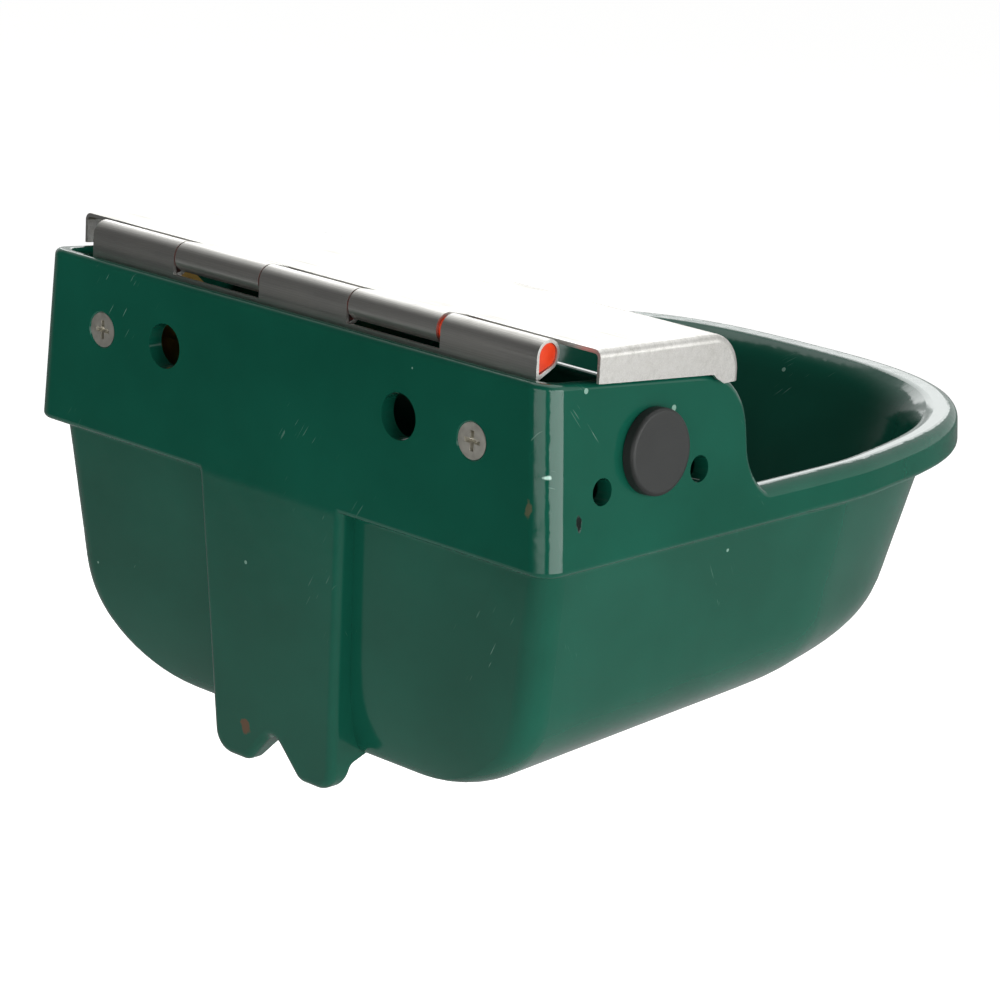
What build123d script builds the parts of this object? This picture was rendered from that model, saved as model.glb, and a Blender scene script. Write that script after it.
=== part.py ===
from build123d import *
import os
from math import cos, radians, sin, tan

# Wall-mounted livestock drinking bowl with a float valve under a hinged cover.
# The origin is midway between the two wall-bolt holes, on the wall face.
# X runs along the hinge, the wall is on the +Y side, the bowl reaches toward -Y, +Z is up.

os.makedirs("parts", exist_ok=True)

# ---- driving sizes of the casting ----
width = 226.0                # across the two sides at the ledge
reach = 262.0                # wall face to the front of the rim
plate_height = 56.6          # ledge to the top of the wall plate
bowl_depth = 81.5            # ledge to the bottom, at the wall
rim_height = 12.0            # ledge to the top of the rim
bead_width = 8.9             # of the rim at its top
wall = 5.2                   # thickness of the plate and the sides
side_draft = 4.2             # mould draft of the sides above the ledge, degrees
top_slope = 5.0              # fall of the side tops toward the front, degrees
wall_hole_height = 35.5      # ledge to the wall-bolt holes
wall_hole_spacing = 102.8
wall_hole_dia = 14.3
ledge_z = -wall_hole_height


def up(height):
    # height above the ledge, as a Z value
    return ledge_z + height


half_width = width / 2
draft = tan(radians(side_draft))
slope = tan(radians(top_slope))

# ---- outlines seen from above ----
front_length = 162.0         # of the round front
shoulder_y = front_length - reach    # where the straight sides turn into the round front
squareness = 2.9             # of the rim's round front, 2 being an ellipse
body_squareness = 2.81       # of the body under it, at the ledge
bottom_squareness = 3.0      # and at its bottom
front_points = 13
plate_corner = 7.0


def plan_outline(half, back_y, front_y, corner, power=squareness):
    # straight back with rounded corners, straight sides, one smooth curve round the front
    length = shoulder_y - front_y
    curve = []
    for step in range(front_points):
        angle = radians(180.0 * step / (front_points - 1))
        across = abs(cos(angle)) ** (2 / power)
        if angle > radians(90):
            across = -across
        along = sin(angle) ** (2 / power)
        curve.append((half * across, shoulder_y - length * along))
    with BuildLine() as outline:
        Line((-half + corner, back_y), (half - corner, back_y))
        RadiusArc((half - corner, back_y), (half, back_y - corner), corner)
        Line((half, back_y - corner), (half, shoulder_y))
        Spline(*curve, tangents=[(0, -1), (0, 1)])
        Line((-half, shoulder_y), (-half, back_y - corner))
        RadiusArc((-half, back_y - corner), (-half + corner, back_y), corner)
    make_face(outline.edges())


# ---- the lower body of the bowl ----
body_half = half_width - 4.8
body_back = -6.0
body_front = -reach + 14.0
body_draft_side = 0.14
body_draft_back = 0.08
body_draft_front = 0.374
bottom_rise = 0.058          # the bottom rises toward the front, mm per mm
bottom_round = 33.5          # height of the rounding into the bottom
bottom_round_side = 45.5
bottom_round_back = 7.0
bottom_round_front = 26.0
body_corner = 8.0
round_start = bowl_depth - bottom_round
side_steps = 5                # levels lofted through the straight part
round_steps = 6               # and through the rounding


def body_level(drop):
    # plane of one level of the body, tilted more the deeper it lies
    tilt = bottom_rise * drop / bowl_depth
    return Plane(origin=(0, 0, up(-drop)), x_dir=(1, 0, 0), z_dir=(0, tilt, 1))


def body_section(turn, depth, inset):
    # one level of the body: depth below the ledge, turn is the angle round the bottom rounding
    fall = 1 - cos(turn)
    plan_outline(
        body_half - body_draft_side * depth - (bottom_round_side - inset) * fall - inset,
        body_back - body_draft_back * depth - (bottom_round_back - inset) * fall - inset,
        body_front + body_draft_front * depth + (bottom_round_front - inset) * fall + inset,
        body_corner - inset * 0.4,
        body_squareness + (bottom_squareness - body_squareness) * depth / bowl_depth,
    )


def rim_inside():
    # inside of the rim at its top
    plan_outline(
        half_width - draft * rim_height - bead_width,
        body_back - wall,
        -reach + draft * rim_height + bead_width,
        body_corner - wall * 0.4,
        squareness + 0.05,
    )


def body_loft(inset, above=()):
    # lofted body, drawn inset from the outside by the wall thickness, with any sections above it
    sections = list(above)
    for step in range(side_steps):
        depth = round_start * step / side_steps
        with BuildSketch(body_level(depth)) as level:
            body_section(0, depth, inset)
        sections.append(level.sketch.face())
    for step in range(round_steps):
        turn = radians(90.0 * step / (round_steps - 1))
        drop = round_start + (bottom_round - inset) * sin(turn)
        with BuildSketch(body_level(drop)) as level:
            body_section(turn, drop, inset)
        sections.append(level.sketch.face())
    loft(sections)


# ---- holes shared by the casting and what passes through it ----
leaf_screw_x = 81.0
leaf_screw_height = 34.7
screw_r = 3.0                # M6
screw_hole_r = 3.3
screw_head_r = 5.55
sink_r = 6.0
valve_y = -45.0
valve_height = 31.5
valve_hole_r = 10.75
valve_screw_offset = 21.45
valve_screw_drop = 8.85
valve_screw_hole_r = 4.1


def leaf_screw_plane(y):
    # upright plane at depth y, local Z into the bowl, centred between the two leaf screws
    return Plane(origin=(0, y, up(leaf_screw_height)), x_dir=(1, 0, 0), z_dir=(0, -1, 0))


def side_plane(side):
    # frame on the drafted outer face at the valve hole; local X along the side, local Z outward
    lean = radians(side_draft)
    face_x = side * (half_width - draft * valve_height)
    return Plane(
        origin=(face_x, valve_y, up(valve_height)),
        x_dir=(0, side, 0),
        z_dir=(side * cos(lean), 0, sin(lean)),
    )


# ================= bowl casting =================
ear_front_top = -87.5        # front of the sides where their top and front lines would meet
ear_front_low = -91.0        # and just above the rim
ear_top_round = min(20.0, 0.46 * (plate_height - rim_height))
ear_foot_round = min(19.0, 0.44 * (plate_height - rim_height))
ear_foot_end = ear_front_low - ear_foot_round - 4
edge_round = 1.9
rim_round = 4.0
ledge_round = 1.8
side_thickness = 5.4
compartment_corner = 3.5
partition_front = -84.0
partition_thickness = 5.0
partition_top = 38.0
partition_slot = 50.0
partition_slot_height = 12.0
partition_slot_spacing = 80.0
partition_floor = wall - bowl_depth - bottom_rise * partition_front

# outside of the rim, plate and sides: one drafted block
block_height = plate_height + 1
with BuildPart() as outer_block:
    with BuildSketch(Plane.XY.offset(up(0))):
        plan_outline(half_width, 0, -reach, plate_corner)
    with BuildSketch(Plane.XY.offset(up(block_height))):
        plan_outline(
            half_width - draft * block_height, 0, -reach + draft * block_height, plate_corner
        )
    loft(ruled=True)

# the hollow of the bowl, opening smoothly into the inside of the rim
with BuildPart() as bowl_hollow:
    with BuildSketch(Plane.XY.offset(up(rim_height))) as rim_top:
        rim_inside()
    body_loft(wall, [rim_top.sketch.face()])

# rim: the band that runs all round, with a rounded top and a rounded lower edge
with BuildPart() as rim_band:
    add(outer_block.part)
    with BuildSketch(Plane.XY.offset(up(rim_height))):
        Rectangle(width * 2, reach * 3)
    extrude(amount=plate_height, mode=Mode.SUBTRACT)
    add(bowl_hollow.part, mode=Mode.SUBTRACT)
    fillet(rim_band.faces().sort_by(Axis.Z)[-1].edges(), rim_round)
    fillet(rim_band.faces().sort_by(Axis.Z)[0].outer_wire().edges(), ledge_round)

# plate and sides: a tall block, hollowed and cut to the side view, with its top edges rounded
with BuildPart() as plate_and_sides:
    add(outer_block.part)
    with BuildSketch(Plane.XY.offset(up(0))):
        plan_outline(half_width - side_thickness, -wall, -reach - 20, compartment_corner)
    with BuildSketch(Plane.XY.offset(up(plate_height + 2))):
        plan_outline(
            half_width - side_thickness - draft * (plate_height + 2), -wall, -reach - 20, compartment_corner
        )
    loft(ruled=True, mode=Mode.SUBTRACT)
    with BuildSketch(Plane.YZ):
        with BuildLine():
            FilletPolyline(
                (2, up(plate_height + slope * 2)),
                (ear_front_top, up(plate_height + slope * ear_front_top)),
                (ear_front_low, up(rim_height - 4)),
                (ear_foot_end, up(rim_height - 4)),
                radius=[ear_top_round, ear_foot_round],
            )
            Polyline(
                (ear_foot_end, up(rim_height - 4)),
                (ear_foot_end, up(ledge_round + 1)),
                (2, up(ledge_round + 1)),
                (2, up(plate_height + slope * 2)),
            )
        make_face()
    extrude(amount=half_width + 5, both=True, mode=Mode.INTERSECT)
    top_faces = plate_and_sides.faces().filter_by(
        lambda face: abs(face.normal_at().X) < 0.001 and face.normal_at().Z > 0.05
    )
    long_edges = top_faces.edges().filter_by(
        lambda edge: edge.length > 8 or abs(edge.tangent_at(0.5).X) < 0.95
    )
    fillet(long_edges, edge_round)

# leg: the centre strip below the ledge that carries the lower wall bolt
leg_x = 2.6                  # the leg stands a little off centre
leg_half_top = 32.0
leg_half_low = 26.5
leg_low = 92.0
leg_lean = 0.07              # the leg leans off the wall by its mould draft
leg_depth = 25.0
leg_foot_top_depth = 14.0
leg_foot_depth = 10.5
leg_side_round = 2.8
leg_shoulder_round = 3.5
leg_foot_round = 7.5
notch_top = 79.0
notch_half = 11.5
notch_round = 3.6
foot_inner_round = 5.0
with BuildPart() as leg:
    with BuildSketch(Plane.XZ):
        with BuildLine():
            for side in (-1, 1):
                FilletPolyline(
                    (leg_x, up(-notch_top)),
                    (leg_x + side * notch_half, up(-leg_low)),
                    (leg_x + side * leg_half_low, up(-leg_low)),
                    (leg_x + side * leg_half_top, up(ledge_round)),
                    (leg_x + side * (leg_half_top + 12), up(ledge_round)),
                    (leg_x + side * (leg_half_top + 12), up(ledge_round + 5)),
                    radius=[foot_inner_round, leg_foot_round, leg_shoulder_round, 1.0],
                )
            Line((leg_x - leg_half_top - 12, up(ledge_round + 5)), (leg_x + leg_half_top + 12, up(ledge_round + 5)))
        make_face()
    extrude(amount=leg_depth)
    notch_edge = leg.edges().filter_by(Axis.Y).sort_by(lambda edge: abs(edge.center().X - leg_x))[0]
    fillet(notch_edge, notch_round)
    with BuildSketch(Plane.YZ):
        with BuildLine():
            FilletPolyline(
                (0, up(ledge_round + 5)),
                (0, up(0)),
                (-leg_lean * (leg_low + 5), up(-leg_low - 5)),
                (-leg_foot_depth, up(-leg_low - 5)),
                (-leg_foot_top_depth, up(-bowl_depth - 2)),
                (-leg_depth, up(-bowl_depth + 2)),
                (-leg_depth, up(ledge_round + 5)),
                radius=[30.0, 0.5, 0.5, 3.0, 1.0],
            )
            Line((-leg_depth, up(ledge_round + 5)), (0, up(ledge_round + 5)))
        make_face()
    extrude(amount=leg_half_top + 20, both=True, mode=Mode.INTERSECT)
    wall_side = leg.faces().filter_by(lambda face: face.normal_at().Y > 0.99)
    outline_edges = wall_side.edges().filter_by(
        lambda edge: abs(edge.tangent_at(0.5).X) < 0.99 or edge.center().Z < up(-leg_low + 1)
    )
    fillet(outline_edges, leg_side_round)

# partition under the front of the cover, which keeps the animal away from the float
with BuildPart() as partition:
    body_loft(2.0)
    with BuildSketch(Plane.XY.offset(up(0))):
        body_section(0, 0, -1.0)
    extrude(amount=partition_top)
    with BuildSketch(Plane.XY.offset(up(-bowl_depth))):
        with Locations((0, partition_front + partition_thickness / 2)):
            Rectangle(width, partition_thickness)
    extrude(amount=bowl_depth + partition_top, mode=Mode.INTERSECT)
    upper_edges = partition.faces().sort_by(Axis.Z)[-1].edges().filter_by(Axis.X)
    fillet(upper_edges, partition_thickness * 0.4)

# the hollow up to where the top of the rim starts to round
with BuildPart() as lower_hollow:
    add(bowl_hollow.part)
    with BuildSketch(Plane.XY.offset(up(rim_height - rim_round))):
        Rectangle(width * 2, reach * 3)
    extrude(amount=plate_height, mode=Mode.SUBTRACT)

foot_blend = 2.7             # hollow corner between the ledge and the body
with BuildPart() as bowl_casting:
    body_loft(0)
    add(rim_band.part)
    underside = bowl_casting.faces().filter_by(
        lambda face: abs(face.center().Z - up(0)) < 0.01 and face.normal_at().Z < -0.9
    )
    fillet(underside[0].inner_wires()[0].edges(), foot_blend)
    add(plate_and_sides.part)
    add(leg.part)
    # hollow: the drinking bowl and the space under the cover
    add(lower_hollow.part, mode=Mode.SUBTRACT)
    add(partition.part)
    # slots at the foot of the partition for the water
    with BuildSketch(Plane.XZ.offset(-partition_front - partition_thickness - 3)):
        with Locations((0, up(partition_floor + partition_slot_height / 2 + 0.5))):
            with GridLocations(partition_slot_spacing, 0, 2, 1):
                RectangleRounded(partition_slot, partition_slot_height, 4.0)
    extrude(amount=partition_thickness + 6, mode=Mode.SUBTRACT)
    # wall-bolt holes, and the countersunk holes for the hinge screws
    with Locations(Plane.XZ.offset(-1)):
        with GridLocations(wall_hole_spacing, 0, 2, 1):
            Hole(wall_hole_dia / 2, depth=12)
    with Locations(-leaf_screw_plane(0)):
        with GridLocations(leaf_screw_x * 2, 0, 2, 1):
            CounterSinkHole(screw_hole_r, sink_r, depth=12, counter_sink_angle=90)
    # inlet and valve-screw holes in both sides
    for side in (-1, 1):
        with Locations(side_plane(side).offset(2)):
            Hole(valve_hole_r, depth=20)
            with Locations((-valve_screw_offset, -valve_screw_drop), (valve_screw_offset, -valve_screw_drop)):
                Hole(valve_screw_hole_r, depth=20)
bowl_casting.part.label = "bowl_casting"
export_step(bowl_casting.part, "parts/bowl_casting.step")

# ================= plug in the spare inlet hole =================
plug_flange_r = 13.0
plug_flange = 3.8
plug_gap = 0.3               # soft plug, drawn clear of the casting
plug_shank_r = valve_hole_r - plug_gap
plug_lip_r = valve_hole_r + 0.9
plug_bore_r = 7.5
plug_inner_reach = side_thickness + 4.0
with BuildPart() as inlet_plug:
    with BuildSketch(side_plane(-1).offset(plug_gap)):
        Circle(plug_flange_r)
    extrude(amount=plug_flange)
    with BuildSketch(side_plane(-1).offset(plug_gap)):
        Circle(plug_shank_r)
    extrude(amount=-plug_inner_reach - plug_gap)
    with BuildSketch(side_plane(-1).offset(-side_thickness - plug_gap)):
        Circle(plug_lip_r)
    extrude(amount=-1.4)
    with BuildSketch(side_plane(-1).offset(-plug_inner_reach - 1)):
        Circle(plug_bore_r)
    extrude(amount=plug_inner_reach, mode=Mode.SUBTRACT)
    outer_rim = inlet_plug.edges().filter_by(GeomType.CIRCLE).sort_by(Axis.X)[0]
    fillet(outer_rim, 1.3)
inlet_plug.part.label = "inlet_plug"
export_step(inlet_plug.part, "parts/inlet_plug.step")

# ================= hinge leaf, its knuckles and the pin =================
sheet = 1.0
knuckle_r = 4.7              # outside of the knuckles
knuckle_bore_r = knuckle_r - sheet
pin_clearance = 0.08
pin_r = knuckle_bore_r - pin_clearance
leaf_back = -wall - 0.1      # face of the leaf toward the plate
pin_y = leaf_back - knuckle_r
pin_height = plate_height + 5.8
leaf_low = plate_height - 12.6
leaf_left = 92.3             # end of the leaf toward +X
knuckle_pitch = 38.4
window_top = plate_height + 0.4
tab_width = 20.0
tab_low = 25.5
gap = 0.35                   # between neighbouring knuckles
end_gap = 1.6                # wider gap at the last knuckle
closing_height = plate_height - 0.7        # where the strip comes back to the leaf
knuckle_edges = [leaf_left - knuckle_pitch * index for index in range(6)]


def teardrop(radius, low_height, y_shift):
    # outline of a rolled strip: round on top, drawn down to a point on the leaf
    with BuildSketch(Plane.YZ) as drop:
        with Locations((pin_y, up(pin_height))):
            Circle(radius)
        with Locations((y_shift, up(low_height))):
            Circle(0.3)
        make_hull()
    return drop.sketch


with BuildPart() as hinge_leaf:
    with BuildSketch(Plane.XZ.offset(-leaf_back)):
        with Locations(((knuckle_edges[0] + knuckle_edges[5]) / 2, up((leaf_low + pin_height) / 2))):
            Rectangle(knuckle_pitch * 5, pin_height - leaf_low)
        for side in (-1, 1):
            with Locations((side * leaf_screw_x, up((tab_low + leaf_low) / 2 + 1))):
                Rectangle(tab_width, leaf_low - tab_low + 2)
    extrude(amount=sheet)
    corners = hinge_leaf.edges().filter_by(Axis.Y).sort_by(Axis.Z)[0:4]
    fillet(corners, 5.0)
    for index in (0, 2, 4):
        start = knuckle_edges[index + 1]
        outside = teardrop(knuckle_r, closing_height, leaf_back - 1.3)
        extrude(outside.moved(Location((start, 0, 0))), amount=knuckle_pitch, dir=(1, 0, 0))
    for index in (0, 2, 4):
        start = knuckle_edges[index + 1] - 1
        inside = teardrop(knuckle_bore_r, closing_height + 1.6, leaf_back - sheet - 0.45)
        extrude(inside.moved(Location((start, 0, 0))), amount=knuckle_pitch + 2, dir=(1, 0, 0), mode=Mode.SUBTRACT)
    # windows for the knuckles of the cover
    for index in (1, 3):
        with BuildSketch(Plane.XZ.offset(-leaf_back - 2)):
            with Locations(((knuckle_edges[index] + knuckle_edges[index + 1]) / 2, up(window_top + 10))):
                Rectangle(knuckle_pitch + gap, 20)
        extrude(amount=20, mode=Mode.SUBTRACT)
    with Locations(leaf_screw_plane(leaf_back)):
        with GridLocations(leaf_screw_x * 2, 0, 2, 1):
            Hole(screw_hole_r, depth=20)
hinge_leaf.part.label = "hinge_leaf"
export_step(hinge_leaf.part, "parts/hinge_leaf.step")

# the pin: round along its length, with a head that keys in the open end of the last knuckle
pin_end_inset = 0.6
pin_head = 4.0
key_clearance = 0.08
with BuildPart() as hinge_pin:
    with BuildSketch(Plane.YZ.offset(knuckle_edges[5] + pin_end_inset)):
        with Locations((pin_y, up(pin_height))):
            Circle(pin_r)
    extrude(amount=knuckle_pitch * 5 - pin_end_inset * 2)
    key = teardrop(knuckle_bore_r - key_clearance, closing_height + 1.9, leaf_back - sheet - 0.55)
    extrude(key.moved(Location((knuckle_edges[5] + pin_end_inset, 0, 0))), amount=pin_head, dir=(1, 0, 0))
hinge_pin.part.label = "hinge_pin"
export_step(hinge_pin.part, "parts/hinge_pin.step")

# ================= cover =================
cover_half = half_width - 1.2
cover_back = -18.6
cover_back_top = plate_height + 8.55
cover_front = -81.6
cover_front_top = plate_height + 5.7       # where the flat and the front lip would meet
lip_round = 12.8
lip_low = plate_height - 9.0
flange_round = 2.4
flange_back_low = plate_height - 1.3
flange_front_low = plate_height - 5.7
flange_front_y = -69.5
tab_back_y = -74.5
cover_knuckle_bore = pin_r + pin_clearance
cover_knuckle_r = cover_knuckle_bore + sheet


def cover_block(inset, back):
    # side view of the folded sheet, drawn in by the sheet thickness for its inside
    with BuildSketch(Plane.YZ) as block:
        with BuildLine():
            FilletPolyline(
                (back, up(cover_back_top - inset)),
                (cover_front + inset, up(cover_front_top - inset)),
                (cover_front + inset, up(lip_low - 8)),
                radius=[lip_round - inset],
            )
            Polyline((cover_front + inset, up(lip_low - 8)), (back, up(lip_low - 8)), (back, up(cover_back_top - inset)))
        make_face()
    return block.sketch


with BuildPart() as cover_inside:
    extrude(cover_block(sheet, cover_back + 6), amount=cover_half - sheet, both=True)
    inside_edges = cover_inside.edges().filter_by(
        lambda edge: abs(edge.tangent_at(0.5).X) < 0.1 and edge.center().Z > up(lip_low - 6) and edge.center().Y < cover_back
        and abs(edge.center().X) > cover_half - sheet - 0.1
    )
    fillet(inside_edges, flange_round - sheet)
with BuildPart() as cover:
    extrude(cover_block(0, cover_back), amount=cover_half, both=True)
    outside_edges = cover.edges().filter_by(
        lambda edge: abs(edge.tangent_at(0.5).X) < 0.1 and edge.center().Z > up(lip_low - 6) and edge.center().Y < cover_back - 1
        and abs(edge.center().X) > cover_half - 0.1
    )
    fillet(outside_edges, flange_round)
    add(cover_inside.part, mode=Mode.SUBTRACT)
    # lower edge of the flanges, the notch and the lip
    with BuildSketch(Plane.YZ):
        with BuildLine():
            Polyline(
                (cover_back + 10, up(flange_back_low)),
                (cover_back, up(flange_back_low)),
                (flange_front_y, up(flange_front_low)),
                (flange_front_y - 1.6, up(flange_front_low - 1.4)),
                (tab_back_y, up(lip_low)),
                (cover_front - 5, up(lip_low)),
                (cover_front - 5, up(lip_low - 20)),
                (cover_back + 10, up(lip_low - 20)),
                close=True,
            )
        make_face()
    extrude(amount=cover_half + 5, both=True, mode=Mode.SUBTRACT)
    # knuckles rolled from the back edge
    for index in (1, 3):
        start = knuckle_edges[index + 1] + gap
        length = knuckle_pitch - gap * 2
        if index == 3:
            start += end_gap - gap
            length -= end_gap - gap
        with BuildSketch(Plane.YZ.offset(start)):
            with Locations((pin_y, up(pin_height))):
                Circle(cover_knuckle_r)
            Polygon(
                (cover_back - 0.5, up(cover_back_top + 0.02)),
                (pin_y - 1.1, up(pin_height + cover_knuckle_r - 0.13)),
                (pin_y - 0.9, up(pin_height + cover_knuckle_bore - 0.05)),
                (cover_back - 0.5, up(cover_back_top - sheet)),
                align=None,
            )
            with Locations((pin_y, up(pin_height))):
                Circle(cover_knuckle_bore, mode=Mode.SUBTRACT)
        extrude(amount=length)
cover.part.label = "cover"
export_step(cover.part, "parts/cover.step")

# ================= screws, washers and nuts of the hinge leaf =================
seat = 0.05                  # gap between faces that press together
head_sink = 0.3
washer_r = 6.0
washer_thickness = 1.6
nut_height = 5.0
nut_across = 10.0
thread_clearance = 0.04
recess_length = 6.2
recess_width = 1.5
leaf_front = leaf_back - sheet
leaf_screw_end = leaf_front - washer_thickness - nut_height - 2.0


def hex_radius(across_flats):
    return across_flats / 2 / cos(radians(30))


with BuildPart() as leaf_screws:
    with BuildSketch(leaf_screw_plane(-head_sink)):
        with GridLocations(leaf_screw_x * 2, 0, 2, 1):
            Circle(screw_head_r)
    extrude(amount=screw_head_r - screw_r, taper=45)
    with BuildSketch(leaf_screw_plane(-head_sink)):
        with GridLocations(leaf_screw_x * 2, 0, 2, 1):
            Circle(screw_r)
    extrude(amount=-leaf_screw_end - head_sink)
    # cross recess
    with BuildSketch(leaf_screw_plane(-head_sink)):
        with GridLocations(leaf_screw_x * 2, 0, 2, 1):
            Rectangle(recess_length, recess_width)
            Rectangle(recess_width, recess_length)
    extrude(amount=2.2, taper=8, mode=Mode.SUBTRACT)
leaf_screws.part.label = "leaf_screws"
export_step(leaf_screws.part, "parts/leaf_screws.step")

with BuildPart() as leaf_washers:
    with BuildSketch(leaf_screw_plane(leaf_front - seat)):
        with GridLocations(leaf_screw_x * 2, 0, 2, 1):
            Circle(washer_r)
            Circle(screw_r + 0.2, mode=Mode.SUBTRACT)
    extrude(amount=washer_thickness)
leaf_washers.part.label = "leaf_washers"
export_step(leaf_washers.part, "parts/leaf_washers.step")

with BuildPart() as leaf_nuts:
    with BuildSketch(leaf_screw_plane(leaf_front - washer_thickness - seat * 2)):
        with GridLocations(leaf_screw_x * 2, 0, 2, 1):
            RegularPolygon(hex_radius(nut_across), 6)
            Circle(screw_r + thread_clearance, mode=Mode.SUBTRACT)
    extrude(amount=nut_height)
leaf_nuts.part.label = "leaf_nuts"
export_step(leaf_nuts.part, "parts/leaf_nuts.step")

# ================= float valve: common frame and sizes =================
# local Z is outward along the inlet and zero on the outer face of the side,
# local X points to the wall and local Y up
valve_frame = side_plane(1)
soft_gap = 0.3
gasket_thickness = 1.5
gasket_start = -side_thickness - soft_gap
flange_start = gasket_start - gasket_thickness - soft_gap
flange_thickness = 5.0
flange_end = flange_start - flange_thickness
stub_r = 10.45               # outside of the G 1/2 thread
stub_neck_r = 9.6            # of the plain neck through the side and the gasket
stub_neck_end = 0.6
stub_reach = 14.0
water_bore_r = 6.6
housing_r = 11.5
housing_end = -36.0
nozzle_start = -13.5
nozzle_end = -20.0
seat_end = -21.2
guide_r = 7.0
piston_r = 6.92
piston_start = -25.3
piston_end = -38.0
seal_r = 4.4
seal_front = -24.8
seal_thickness = 2.7
orifice_r = 1.6
pivot_drop = 12.5
pivot_w = -42.0
pivot_r = 2.0
cheek_inner = 8.0
cheek_thickness = 3.0
cheek_outer = cheek_inner + cheek_thickness
# upright plane through the inlet: local X up, local Y outward, local Z to the wall
lever_side = Plane(origin=valve_frame.origin, x_dir=valve_frame.y_dir, z_dir=valve_frame.x_dir)


def valve_flange(hole_r):
    # rounded plate round the inlet and the two screws
    with BuildSketch() as plate:
        Circle(15.5)
        for side in (-1, 1):
            with Locations((side * valve_screw_offset, -valve_screw_drop)):
                Circle(8.0)
        make_hull()
        for side in (-1, 1):
            with Locations((side * valve_screw_offset, -valve_screw_drop)):
                Circle(screw_r + 0.35, mode=Mode.SUBTRACT)
        if hole_r > 0:
            Circle(hole_r, mode=Mode.SUBTRACT)
    return plate.sketch


def at_valve_screws():
    return Locations(
        (-valve_screw_offset, -valve_screw_drop),
        (valve_screw_offset, -valve_screw_drop),
    )


# ================= gasket between the side and the valve =================
with BuildPart() as valve_gasket:
    extrude(valve_frame.offset(gasket_start) * valve_flange(stub_r + soft_gap), amount=-gasket_thickness)
valve_gasket.part.label = "valve_gasket"
export_step(valve_gasket.part, "parts/valve_gasket.step")

# ================= valve body: flange, threaded inlet stub, housing and cheeks =================
with BuildPart() as valve_body:
    extrude(valve_frame.offset(flange_start) * valve_flange(0), amount=-flange_thickness)
    with BuildSketch(valve_frame.offset(flange_start - 1)):
        Circle(stub_neck_r)
    extrude(amount=stub_neck_end - flange_start + 1)
    with BuildSketch(valve_frame.offset(stub_neck_end)):
        Circle(stub_r)
    extrude(amount=stub_reach - stub_neck_end)
    chamfer(valve_body.edges().filter_by(GeomType.CIRCLE).sort_by(Axis.X)[-1], 0.8)
    with BuildSketch(valve_frame.offset(flange_start - 1)):
        Circle(housing_r)
    extrude(amount=housing_end - flange_start + 1)
    # cheeks that carry the pivot of the float lever
    for side in (-1, 1):
        with BuildSketch(lever_side.offset(side * (cheek_inner + cheek_thickness / 2))):
            with BuildLine():
                FilletPolyline(
                    (-1, flange_end + 1),
                    (-14, flange_end + 1),
                    (-pivot_drop - 4.5, pivot_w + 2),
                    (-pivot_drop - 3.5, pivot_w - 5),
                    (-pivot_drop + 3.5, pivot_w - 5),
                    (-pivot_drop + 5, pivot_w + 2),
                    (-1, pivot_w + 11),
                    radius=2.5,
                    close=True,
                )
            make_face()
        extrude(amount=cheek_thickness / 2, both=True)
    with BuildSketch(valve_frame.offset(stub_reach)):
        Circle(water_bore_r)
    extrude(amount=nozzle_end - stub_reach, mode=Mode.SUBTRACT)
    with BuildSketch(valve_frame.offset(nozzle_end)):
        Circle(guide_r)
    extrude(amount=housing_end - nozzle_end - 1, mode=Mode.SUBTRACT)
    # opening under the seat, where the water runs out
    with BuildSketch(valve_frame.offset(nozzle_end - 0.5)):
        with Locations((0, -housing_r)):
            Rectangle(10, housing_r * 1.3)
    extrude(amount=-8, mode=Mode.SUBTRACT)
    with BuildSketch(lever_side):
        with Locations((-pivot_drop, pivot_w)):
            Circle(pivot_r + 0.03)
    extrude(amount=cheek_outer + 2, both=True, mode=Mode.SUBTRACT)
valve_body.part.label = "valve_body"
export_step(valve_body.part, "parts/valve_body.step")

# ================= nozzle with its raised seat =================
with BuildPart() as valve_nozzle:
    with BuildSketch(valve_frame.offset(nozzle_start)):
        Circle(water_bore_r - thread_clearance)
    extrude(amount=nozzle_end - nozzle_start)
    with BuildSketch(valve_frame.offset(nozzle_end)):
        Circle(4.6)
    extrude(amount=(seat_end - nozzle_end) / 2)
    with BuildSketch(valve_frame.offset(nozzle_end)):
        Circle(2.6)
    extrude(amount=seat_end - nozzle_end)
    with BuildSketch(valve_frame.offset(nozzle_start)):
        Circle(orifice_r)
    extrude(amount=seat_end - nozzle_start, mode=Mode.SUBTRACT)
    with BuildSketch(valve_frame.offset(nozzle_start)):
        Circle(4.4)
    extrude(amount=-2.6, taper=40, mode=Mode.SUBTRACT)
valve_nozzle.part.label = "valve_nozzle"
export_step(valve_nozzle.part, "parts/valve_nozzle.step")

# ================= piston and its seal =================
with BuildPart() as valve_piston:
    with BuildSketch(valve_frame.offset(piston_start)):
        Circle(piston_r)
    extrude(amount=piston_end - piston_start)
    with BuildSketch(valve_frame.offset(piston_start)):
        Circle(seal_r + soft_gap)
    extrude(amount=seal_front - seal_thickness - soft_gap - piston_start, mode=Mode.SUBTRACT)
    chamfer(valve_piston.faces().sort_by(Axis.X)[0].edges(), 0.6)
valve_piston.part.label = "valve_piston"
export_step(valve_piston.part, "parts/valve_piston.step")

with BuildPart() as piston_seal:
    with BuildSketch(valve_frame.offset(seal_front)):
        Circle(seal_r)
    extrude(amount=-seal_thickness)
piston_seal.part.label = "piston_seal"
export_step(piston_seal.part, "parts/piston_seal.step")

# ================= screws, washers and nuts of the valve =================
with BuildPart() as valve_screw_washers:
    with BuildSketch(valve_frame.offset(seat)):
        with at_valve_screws():
            Circle(washer_r)
            Circle(screw_r + 0.2, mode=Mode.SUBTRACT)
    extrude(amount=washer_thickness)
valve_screw_washers.part.label = "valve_screw_washers"
export_step(valve_screw_washers.part, "parts/valve_screw_washers.step")

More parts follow.
